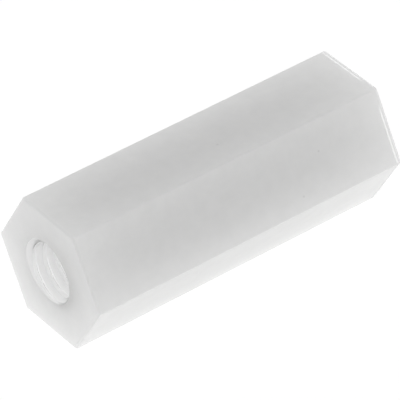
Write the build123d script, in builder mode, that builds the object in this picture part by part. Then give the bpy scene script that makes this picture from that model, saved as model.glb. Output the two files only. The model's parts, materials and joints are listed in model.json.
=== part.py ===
from build123d import *

import os

# Driving dimensions of the standoff, in millimetres.
across_flats = 5.5
length = 15.0
edge_round = 0.12
thread_diameter = 3.0
thread_pitch = 0.5
mouth_break = 0.05

# The bore is the tapping size: the crests of the metric thread that is cut in it lie on this wall.
tapping_diameter = thread_diameter - thread_pitch

# The body lies on one of its six flats. X runs along the bore, and the origin is on the surface
# that the body lies on, under its middle.
bore_height = across_flats / 2
end_plane = Plane(origin=(-length / 2, 0, bore_height), x_dir=(0, 1, 0), z_dir=(1, 0, 0))

# One piece: a hexagonal bar, rounded lightly on every edge, with a hole tapped right through it.
with BuildPart() as standoff:
    # The hexagon has a flat below and above, and a corner at each side.
    with BuildSketch(end_plane):
        RegularPolygon(radius=across_flats / 2, side_count=6, major_radius=False)
    extrude(amount=length)
    fillet(standoff.edges(), radius=edge_round)

    # The bore runs from end to end, with its two mouths deburred and not countersunk.
    with BuildSketch(end_plane):
        Circle(radius=tapping_diameter / 2)
    extrude(amount=length, mode=Mode.SUBTRACT)
    mouths = standoff.edges(Select.LAST).filter_by(GeomType.CIRCLE)
    chamfer(mouths, length=mouth_break)

standoff.part.label = "standoff"

os.makedirs("parts", exist_ok=True)
export_step(standoff.part, "parts/standoff.step")
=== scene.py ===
import json
from math import cos, pi, radians, sin, sqrt, tan

import bpy
from mathutils import Matrix, Vector


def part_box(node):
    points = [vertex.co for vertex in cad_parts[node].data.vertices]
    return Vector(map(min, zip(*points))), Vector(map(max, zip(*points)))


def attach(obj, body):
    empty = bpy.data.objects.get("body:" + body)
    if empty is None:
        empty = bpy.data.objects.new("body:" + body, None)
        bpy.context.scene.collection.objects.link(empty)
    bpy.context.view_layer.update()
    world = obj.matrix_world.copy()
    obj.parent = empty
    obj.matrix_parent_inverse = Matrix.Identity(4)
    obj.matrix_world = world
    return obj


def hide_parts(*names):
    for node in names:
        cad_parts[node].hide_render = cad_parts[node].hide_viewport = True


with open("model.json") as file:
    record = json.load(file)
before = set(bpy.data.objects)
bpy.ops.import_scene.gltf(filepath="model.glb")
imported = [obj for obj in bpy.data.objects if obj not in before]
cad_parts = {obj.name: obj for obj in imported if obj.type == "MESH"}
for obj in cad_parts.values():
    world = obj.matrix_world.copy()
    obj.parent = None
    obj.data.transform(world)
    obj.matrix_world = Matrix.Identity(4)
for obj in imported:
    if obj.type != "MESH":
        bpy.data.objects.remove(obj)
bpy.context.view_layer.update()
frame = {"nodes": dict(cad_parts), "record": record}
print("frame loaded:", ", ".join(frame["nodes"]))

mm = 0.001


def hexToLinear(code):
    # an sRGB colour such as "#f0f0ee" as the linear values that a socket takes
    channels = [int(code[i:i + 2], 16) / 255 for i in (1, 3, 5)]
    linear = [c / 12.92 if c <= 0.04045 else ((c + 0.055) / 1.055) ** 2.4 for c in channels]
    return (*linear, 1.0)


def addNode(tree, kind, settings={}, sockets={}):
    # adds a node, with its settings and the value or link of each socket, and gives back its outputs
    node = tree.nodes.new(kind)
    for name, value in settings.items():
        setattr(node, name, value)
    for name, value in sockets.items():
        for v in value if isinstance(value, list) else [value]:
            if isinstance(v, bpy.types.NodeSocket):
                tree.links.new(v, node.inputs[name])
            else:
                node.inputs[name].default_value = v
    return node.outputs


def linkObject(name, data):
    made = bpy.data.objects.new(name, data)
    bpy.context.scene.collection.objects.link(made)
    return made


def direction(azimuth, elevation):
    # from the object towards a camera or a lamp, with the two angles in degrees
    a, e = radians(azimuth), radians(elevation)
    return Vector((sin(a) * cos(e), -cos(a) * cos(e), sin(e)))


# The camera stands where the photograph was taken from: in front, left of the near end, looking down.
shot = {
    "azimuth": -38.14,  # in degrees from the front, less than 0 to the left
    "elevation": 38.58,
    "roll": -0.42,
    "distance": 164.25 * mm,
    "aim": (-0.135 * mm, 0.012 * mm, 2.673 * mm),
    "lens": 379,
    "sensor": 36,
    "clip": (10 * mm, 10),
}


def setCamera():
    back = direction(shot["azimuth"], shot["elevation"])
    data = bpy.data.cameras.new("camera")
    data.lens, data.sensor_width = shot["lens"], shot["sensor"]
    data.clip_start, data.clip_end = shot["clip"]
    camera = linkObject("camera", data)
    camera.location = Vector(shot["aim"]) + back * shot["distance"]
    camera.rotation_mode = "QUATERNION"
    turn = Matrix.Rotation(radians(shot["roll"]), 3, back)
    camera.rotation_quaternion = (turn @ (-back).to_track_quat("-Z", "Y").to_matrix()).to_quaternion()
    bpy.context.scene.camera = camera


setCamera()
print("camera set")


# The standoff: its outside and its bore are read from the frame, and the thread is an M3 x 0.5 one.
low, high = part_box("standoff")
boreMount = next(m for m in frame["record"]["mounts"] if m["kind"] == "threaded_hole")
standoff = {
    "Across Flats": high.z - low.z,
    "Length": high.x - low.x,
    "Edge Round": 0.12 * mm,
    "Round Steps": 6,
    "Bore Radius": boreMount["dims"]["r_mm"] * mm,
    "Mouth Break": 0.05 * mm,
    "Thread Radius": 1.5 * mm,
    "Thread Pitch": 0.5 * mm,
    "Turn Steps": 64,
    "Thread Start": radians(28),  # turns the thread to where its first turn shows in the near mouth
    "Merge Distance": 0.0002 * mm,
}


def hexStandoffTree():
    tree = bpy.data.node_groups.new("hexStandoff", "GeometryNodeTree")
    for name, value in standoff.items():
        kind = "NodeSocketInt" if isinstance(value, int) else "NodeSocketFloat"
        tree.interface.new_socket(name, in_out="INPUT", socket_type=kind)
    tree.interface.new_socket("Material", in_out="INPUT", socket_type="NodeSocketMaterial")
    tree.interface.new_socket("Standoff", in_out="OUTPUT", socket_type="NodeSocketGeometry")
    given = addNode(tree, "NodeGroupInput")

    # every number that follows from the inputs: its name, what is done, and what it is done with
    rows = (
        ("cornerRadius", "DIVIDE", "Across Flats", sqrt(3)),
        ("halfLength", "MULTIPLY", "Length", 0.5),
        ("halfAcross", "MULTIPLY", "Across Flats", 0.5),
        # the rings of the bar, half of which round off each end: how deep they lie, and how far inset
        ("lastRing", "MULTIPLY_ADD", "Round Steps", 2.0, 1.0),
        ("ringCount", "ADD", "lastRing", 1.0),
        ("fromLast", "SUBTRACT", "lastRing", "ring"),
        ("fromEnd", "MINIMUM", "ring", "fromLast"),
        ("ringShare", "DIVIDE", "fromEnd", "Round Steps"),
        ("ringAngle", "MULTIPLY", "ringShare", pi / 2),
        ("ringCosine", "COSINE", "ringAngle"),
        ("depthShare", "SUBTRACT", 1.0, "ringCosine"),
        ("ringDepth", "MULTIPLY", "Edge Round", "depthShare"),
        ("ringSine", "SINE", "ringAngle"),
        ("insetShare", "SUBTRACT", 1.0, "ringSine"),
        ("ringInset", "MULTIPLY", "Edge Round", "insetShare"),
        ("insetOfHalf", "DIVIDE", "ringInset", "halfAcross"),
        ("ringScale", "SUBTRACT", 1.0, "insetOfHalf"),
        ("pastFirstHalf", "GREATER_THAN", "ring", "Round Steps"),
        ("ringEnd", "MULTIPLY_ADD", "pastFirstHalf", 2.0, -1.0),
        ("ringOut", "SUBTRACT", "halfLength", "ringDepth"),
        ("ringPlace", "MULTIPLY", "ringEnd", "ringOut"),
        # the drill, and the cones, twice as large each way as the break that they leave
        ("drillLength", "ADD", "Length", "Thread Pitch"),
        ("coneRise", "MULTIPLY", "Mouth Break", 2.0),
        ("coneLength", "MULTIPLY", "coneRise", 2.0),
        ("coneTip", "SUBTRACT", "Bore Radius", "coneRise"),
        ("coneRim", "ADD", "Bore Radius", "coneRise"),
        ("coneIn", "MULTIPLY", "coneRise", 1.5),
        ("conePlace", "SUBTRACT", "halfLength", "coneIn"),
        # the tap, whose flanks lean 30 degrees and whose root is an eighth of a pitch wide
        ("pitches", "DIVIDE", "Length", "Thread Pitch"),
        ("wholePitches", "CEIL", "pitches"),
        ("turns", "ADD", "wholePitches", 2.0),  # one more past each end
        ("tapLength", "MULTIPLY", "turns", "Thread Pitch"),
        ("tapPlace", "MULTIPLY", "tapLength", -0.5),
        ("reach", "SUBTRACT", "Thread Radius", "Bore Radius"),
        ("back", "MULTIPLY", "reach", -0.2),  # the groove starts a little inside the bore
        ("toBack", "SUBTRACT", "reach", "back"),
        ("flankWidth", "MULTIPLY", "toBack", tan(radians(30))),
        ("rootHalf", "DIVIDE", "Thread Pitch", 16.0),
        ("rootOther", "MULTIPLY", "rootHalf", -1.0),
        ("backHalf", "ADD", "rootHalf", "flankWidth"),
        ("backOther", "MULTIPLY", "backHalf", -1.0),
    )
    sums = {name: given[name] for name in standoff}
    sums["ring"] = addNode(tree, "GeometryNodeInputIndex")[0]
    for name, operation, *values in rows:
        sockets = {i: sums.get(value, value) for i, value in enumerate(values)}
        sums[name] = addNode(tree, "ShaderNodeMath", {"operation": operation}, sockets)[0]

    # where things go along the axis, and the corners of the tap's groove
    spots = {}
    for name, x, y, z in (
            ("ring", 0.0, 0.0, "ringPlace"), ("cone", 0.0, 0.0, "conePlace"), ("tap", 0.0, 0.0, "tapPlace"),
            ("tapTurn", 0.0, 0.0, "Thread Start"), ("axis", 0.0, 0.0, "halfAcross"),
            ("Point 1", "back", "backOther", 0.0), ("Point 2", "reach", "rootOther", 0.0),
            ("Point 3", "reach", "rootHalf", 0.0), ("Point 4", "back", "backHalf", 0.0)):
        sockets = {i: sums.get(value, value) for i, value in enumerate((x, y, z))}
        spots[name] = addNode(tree, "ShaderNodeCombineXYZ", {}, sockets)[0]

    # the hexagon, a corner at each side, with its corners rounded
    hexagon = addNode(tree, "GeometryNodeCurvePrimitiveCircle", {}, {
        "Resolution": 6, "Radius": sums["cornerRadius"]})[0]
    section = addNode(tree, "GeometryNodeFilletCurve", {"mode": "POLY"}, {
        "Curve": hexagon, "Count": given["Round Steps"], "Radius": given["Edge Round"]})[0]

    # the bar: rings of that section, which shrink to a quarter round at each end
    axis = addNode(tree, "GeometryNodeCurvePrimitiveLine")[0]
    rings = addNode(tree, "GeometryNodeResampleCurve", {}, {"Curve": axis, "Count": sums["ringCount"]})[0]
    rings = addNode(tree, "GeometryNodeSetPosition", {}, {"Geometry": rings, "Position": spots["ring"]})[0]
    bar = addNode(tree, "GeometryNodeCurveToMesh", {}, {
        "Curve": rings, "Profile Curve": section, "Scale": sums["ringScale"], "Fill Caps": True})[0]

    # the drill, longer than the bar, and a small cone at each mouth
    drill = addNode(tree, "GeometryNodeMeshCylinder", {}, {
        "Vertices": given["Turn Steps"], "Radius": given["Bore Radius"],
        "Depth": sums["drillLength"]})["Mesh"]
    deburrer = addNode(tree, "GeometryNodeMeshCone", {}, {
        "Vertices": given["Turn Steps"], "Depth": sums["coneLength"],
        "Radius Bottom": sums["coneTip"], "Radius Top": sums["coneRim"]})["Mesh"]
    deburrer = addNode(tree, "GeometryNodeTransform", {}, {
        "Geometry": deburrer, "Translation": spots["cone"]})[0]
    otherDeburrer = addNode(tree, "GeometryNodeTransform", {}, {
        "Geometry": deburrer, "Rotation": (radians(180), 0, 0)})[0]

    # the tap: a groove with 60 degrees between its flanks that runs along a right-hand helix past both ends
    helix = addNode(tree, "GeometryNodeCurveSpiral", {}, {
        "Resolution": given["Turn Steps"], "Rotations": sums["turns"], "Start Radius": given["Bore Radius"],
        "End Radius": given["Bore Radius"], "Height": sums["tapLength"], "Reverse": True})[0]
    helix = addNode(tree, "GeometryNodeSetCurveNormal", {"mode": "Z_UP"}, {"Curve": helix})[0]
    groove = addNode(tree, "GeometryNodeCurvePrimitiveQuadrilateral", {"mode": "POINTS"}, {
        name: spots[name] for name in ("Point 1", "Point 2", "Point 3", "Point 4")})[0]
    tap = addNode(tree, "GeometryNodeCurveToMesh", {}, {
        "Curve": helix, "Profile Curve": groove, "Fill Caps": True})[0]
    tap = addNode(tree, "GeometryNodeTransform", {}, {
        "Geometry": tap, "Translation": spots["tap"], "Rotation": spots["tapTurn"]})[0]

    # the cutters come off the bar, which is then laid on one of its flats with the bore along X
    cut = addNode(tree, "GeometryNodeMeshBoolean", {"operation": "DIFFERENCE", "solver": "EXACT"}, {
        "Mesh 1": bar, "Mesh 2": [drill, deburrer, otherDeburrer, tap]})[0]
    cut = addNode(tree, "GeometryNodeMergeByDistance", {}, {
        "Geometry": cut, "Distance": given["Merge Distance"]})[0]
    laid = addNode(tree, "GeometryNodeTransform", {}, {
        "Geometry": cut, "Rotation": (radians(90), 0, radians(90)), "Translation": spots["axis"]})[0]

    # smooth along the rounds and round the bore, with an edge wherever faces meet at over 30 degrees
    laid = addNode(tree, "GeometryNodeSetShadeSmooth", {}, {"Geometry": laid, "Shade Smooth": True})[0]
    gentle = addNode(tree, "FunctionNodeCompare", {"operation": "LESS_THAN"}, {
        "A": addNode(tree, "GeometryNodeInputMeshEdgeAngle")[0], "B": radians(30)})[0]
    laid = addNode(tree, "GeometryNodeSetShadeSmooth", {"domain": "EDGE"}, {
        "Geometry": laid, "Shade Smooth": gentle})[0]
    whole = addNode(tree, "GeometryNodeRealizeInstances", {}, {"Geometry": laid})[0]
    whole = addNode(tree, "GeometryNodeSetMaterial", {}, {
        "Geometry": whole, "Material": given["Material"]})[0]
    addNode(tree, "NodeGroupOutput", {}, {"Standoff": whole})
    return tree


# How the plastic looks. The skin is that of the extruded bar, and the thread is where the tap has cut it,
# painted paler as painted light in the bore.
polyamide = {
    "skinColour": "#f3f3f2",
    "skinSoftness": 0.62,  # the share of the light that soaks in
    "skinDepth": 6 * mm,  # about how far it gets before it turns
    # painted light: the thread is paler than the skin, so that the bore looks lit by the light that comes
    # through its wall
    "threadPaintedLightColour": "#fcfcfb",
    "threadSoftness": 1.0,
    "threadDepth": 19 * mm,
    "threadFade": 0.02 * mm,  # the one look turns into the other over this
    "ior": 1.53,
    "roughness": 0.26,
    "mottling": 0.018,  # how far the colour strays
    "mottlingSize": 0.6 * mm,
    "mottlingDetail": 3.0,
    "mottlingRoughness": 0.6,
    "grainDepth": 0.0006 * mm,
    "grainSize": 0.12 * mm,  # drawn coarser than the real grain, so that it shows
    "grainDetail": 2.0,
    # a fine crease that the saw has pressed into the flats just before the far end
    "creaseFromEnd": 0.21 * mm,
    "creaseWidth": 0.06 * mm,
    "creaseSlope": radians(10),
    "creaseGap": (0.6 * mm, 1.0 * mm),  # from the top front corner: where it starts, and is whole
    # dust on the flats
    "specks": ((4.0 * mm, -2.21 * mm, 4.42 * mm), (2.71 * mm, -2.90 * mm, 3.23 * mm),
               (0.33 * mm, -0.51 * mm, 5.5 * mm)),
    "speckRadius": 0.06 * mm,
    "speckShade": 0.9,
}


def extrudedPolyamide():
    # natural polyamide, cut from an extruded bar: milky, so that light soaks in and the edges glow, with a
    # satin skin; the thread is painted paler, as painted light for the bore, and soaks light deeper, so that
    # light from all round comes through the wall to it
    material = bpy.data.materials.new("extrudedPolyamide")
    material.use_nodes = True
    tree = material.node_tree
    tree.nodes.clear()

    # the thread: what is close to the axis and inside the two end faces
    across, end, fade = standoff["Across Flats"], standoff["Length"] / 2, polyamide["threadFade"]
    place = addNode(tree, "ShaderNodeTexCoord")["Object"]
    along = addNode(tree, "ShaderNodeSeparateXYZ", {}, {0: place})["X"]
    fromMiddle = addNode(tree, "ShaderNodeMath", {"operation": "ABSOLUTE"}, {0: along})[0]
    axisPoint = addNode(tree, "ShaderNodeCombineXYZ", {}, {"X": along, "Z": across / 2})[0]
    radius = addNode(tree, "ShaderNodeVectorMath", {"operation": "DISTANCE"}, {
        0: place, 1: axisPoint})["Value"]
    nearAxis = addNode(tree, "ShaderNodeMapRange", {}, {
        "Value": radius, "To Min": 1.0, "To Max": 0.0,
        "From Min": standoff["Thread Radius"] + fade, "From Max": standoff["Thread Radius"] + 2 * fade})[0]
    inside = addNode(tree, "ShaderNodeMapRange", {}, {
        "Value": fromMiddle, "To Min": 1.0, "To Max": 0.0,
        "From Min": end - 1.5 * fade, "From Max": end - 0.5 * fade})[0]
    thread = addNode(tree, "ShaderNodeMath", {"operation": "MULTIPLY"}, {0: nearAxis, 1: inside})[0]

    # the colour strays a little from place to place, and a few specks of dust sit on the flats
    clouds = addNode(tree, "ShaderNodeTexNoise", {}, {
        "Vector": place, "Scale": 1 / polyamide["mottlingSize"], "Detail": polyamide["mottlingDetail"],
        "Roughness": polyamide["mottlingRoughness"]})[0]
    shade = addNode(tree, "ShaderNodeMapRange", {}, {
        "Value": clouds, "From Min": 0.3, "From Max": 0.7,  # nearly all of the noise lies between these
        "To Min": 1 - polyamide["mottling"], "To Max": 1 + polyamide["mottling"]})[0]
    for spot in polyamide["specks"]:
        away = addNode(tree, "ShaderNodeVectorMath", {"operation": "DISTANCE"}, {0: place, 1: spot})["Value"]
        speck = addNode(tree, "ShaderNodeMapRange", {}, {
            "Value": away, "From Min": polyamide["speckRadius"] / 2, "From Max": polyamide["speckRadius"],
            "To Min": polyamide["speckShade"], "To Max": 1.0})[0]
        shade = addNode(tree, "ShaderNodeMath", {"operation": "MULTIPLY"}, {0: shade, 1: speck})[0]
    # the thread's paler colour is painted light in the bore
    both = addNode(tree, "ShaderNodeMix", {"data_type": "RGBA"}, {  # 0 is its factor, 6 and 7 its colours
        0: thread, 6: hexToLinear(polyamide["skinColour"]), 7: hexToLinear(polyamide["threadPaintedLightColour"])})[2]
    colour = addNode(tree, "ShaderNodeVectorMath", {"operation": "SCALE"}, {0: both, "Scale": shade})[0]

    # the crease before the far end, and the satin of the skin, which is a fine grain
    corner = (end, -across / sqrt(12), across)
    fromCorner = addNode(tree, "ShaderNodeVectorMath", {"operation": "DISTANCE"}, {
        0: place, 1: corner})["Value"]
    starts, isWhole = polyamide["creaseGap"]
    pressed = addNode(tree, "ShaderNodeMapRange", {}, {
        "Value": fromCorner, "From Min": starts, "From Max": isWhole})[0]
    middle, width = end - polyamide["creaseFromEnd"], polyamide["creaseWidth"]
    step = addNode(tree, "ShaderNodeMapRange", {}, {
        "Value": along, "To Min": 1.0, "To Max": 0.0,
        "From Min": middle - width / 2, "From Max": middle + width / 2})[0]
    crease = addNode(tree, "ShaderNodeBump", {}, {
        "Strength": pressed, "Distance": width * tan(polyamide["creaseSlope"]), "Height": step})[0]
    grain = addNode(tree, "ShaderNodeTexNoise", {}, {
        "Vector": place, "Scale": 1 / polyamide["grainSize"], "Detail": polyamide["grainDetail"]})[0]
    satin = addNode(tree, "ShaderNodeBump", {}, {
        "Distance": polyamide["grainDepth"], "Height": grain, "Normal": crease})[0]

    # the thread also soaks light deeper than the skin, which with its painted paler colour lightens the bore
    softness = addNode(tree, "ShaderNodeMapRange", {}, {
        "Value": thread, "To Min": polyamide["skinSoftness"], "To Max": polyamide["threadSoftness"]})[0]
    depth = addNode(tree, "ShaderNodeMapRange", {}, {
        "Value": thread, "To Min": polyamide["skinDepth"], "To Max": polyamide["threadDepth"]})[0]
    shader = addNode(tree, "ShaderNodeBsdfPrincipled", {}, {
        "Base Color": colour, "Roughness": polyamide["roughness"], "IOR": polyamide["ior"],
        "Normal": satin, "Subsurface Weight": softness, "Subsurface Scale": depth,
        "Subsurface Radius": (1.0, 1.0, 1.0)})[0]
    addNode(tree, "ShaderNodeOutputMaterial", {}, {"Surface": shader})
    return material


def makeStandoff():
    piece = linkObject("tapped_standoff", bpy.data.meshes.new("tapped_standoff"))
    grow = piece.modifiers.new("hexStandoff", "NODES")
    grow.node_group = hexStandoffTree()
    values = dict(standoff, Material=extrudedPolyamide())
    for item in grow.node_group.interface.items_tree:
        if item.in_out == "INPUT":
            grow[item.identifier] = values[item.name]
    weigh = piece.modifiers.new("flatNormals", "WEIGHTED_NORMAL")  # keeps the flats flat beside their rounds
    weigh.keep_sharp = True
    graph = bpy.context.evaluated_depsgraph_get()
    mesh = bpy.data.meshes.new_from_object(piece.evaluated_get(graph))
    piece.modifiers.clear()
    piece.data = mesh
    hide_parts("standoff")
    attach(piece, "root")
    return piece


piece = makeStandoff()
print("standoff made:", len(piece.data.vertices), "vertices,", len(piece.data.polygons), "faces")


# A white light table in a white room, with soft lamps. A level of 1 lights a white face to full white.
studio = {
    "tableSize": 1.2,
    "tableDrop": 0.01 * mm,  # it lies a hair under the standoff, so that no two faces share a plane
    "tableColour": "#959595",
    "tableGlow": 0.76,
    "tableLook": 0.82,  # how bright the same glow looks
    "roomLevel": 0.34,
    "roomLook": 1.0,
    "lampDistance": 0.5,
    "lamps": {  # azimuth, elevation, width and level of each
        "behind": (180, 12, 0.4, 0.20),
        "front": (0, 60, 0.4, 0.11),
        "above": (0, 90, 0.4, 0.128),
        "nearEnd": (-90, 35, 0.4, 0.085),
        "lowRim": (51, 5.5, 0.09, 0.09),  # these two catch the crease before the far end
        "highRim": (130.5, 23, 0.09, 0.045),
    },
}


def seenDirectly(tree):
    # 1 for what the camera sees, also mirrored or through glass, and 0 for the light that falls on things
    path = addNode(tree, "ShaderNodeLightPath")
    seen = path["Is Camera Ray"]
    for kind in ("Is Glossy Ray", "Is Transmission Ray"):
        seen = addNode(tree, "ShaderNodeMath", {"operation": "MAXIMUM"}, {0: seen, 1: path[kind]})[0]
    return seen


def lightTable():
    # cast opal acrylic lit from below: it glows evenly, and holds a faint shadow
    half, z = studio["tableSize"] / 2, -studio["tableDrop"]
    corners = [(-half, -half, z), (half, -half, z), (half, half, z), (-half, half, z)]
    mesh = bpy.data.meshes.new("lightTable")
    mesh.from_pydata(corners, [], [(0, 1, 2, 3)])
    table = linkObject("lightTable", mesh)
    material = bpy.data.materials.new("castOpalAcrylic")
    material.use_nodes = True
    tree = material.node_tree
    tree.nodes.clear()
    skin = addNode(tree, "ShaderNodeBsdfDiffuse", {}, {"Color": hexToLinear(studio["tableColour"])})[0]
    strength = addNode(tree, "ShaderNodeMapRange", {}, {
        "Value": seenDirectly(tree), "To Min": studio["tableGlow"], "To Max": studio["tableLook"]})[0]
    glow = addNode(tree, "ShaderNodeEmission", {}, {"Strength": strength})[0]
    both = addNode(tree, "ShaderNodeAddShader", {}, {0: skin, 1: glow})[0]
    addNode(tree, "ShaderNodeOutputMaterial", {}, {"Surface": both})
    mesh.materials.append(material)


def whiteRoom():
    world = bpy.data.worlds.new("whiteRoom")
    bpy.context.scene.world = world
    world.use_nodes = True
    tree = world.node_tree
    tree.nodes.clear()
    white = (1.0, 1.0, 1.0, 1.0)
    light = addNode(tree, "ShaderNodeBackground", {}, {"Color": white, "Strength": studio["roomLevel"]})[0]
    look = addNode(tree, "ShaderNodeBackground", {}, {"Color": white, "Strength": studio["roomLook"]})[0]
    both = addNode(tree, "ShaderNodeMixShader", {}, {0: seenDirectly(tree), 1: light, 2: look})[0]
    addNode(tree, "ShaderNodeOutputWorld", {}, {"Surface": both})


def softLamp(name, azimuth, elevation, width, level):
    towards = direction(azimuth, elevation)
    data = bpy.data.lights.new(name, "AREA")
    data.shape, data.size = "DISK", width
    data.energy = level * (pi * studio["lampDistance"]) ** 2  # lights a face square on to that level
    lamp = linkObject(name, data)
    lamp.location = towards * studio["lampDistance"]
    lamp.rotation_mode = "QUATERNION"
    lamp.rotation_quaternion = (-towards).to_track_quat("-Z", "Y")
    lamp.visible_camera = False


lightTable()
whiteRoom()
for name, placed in studio["lamps"].items():
    softLamp(name, *placed)
bpy.context.scene.view_settings.view_transform = "Standard"
print("stage set")
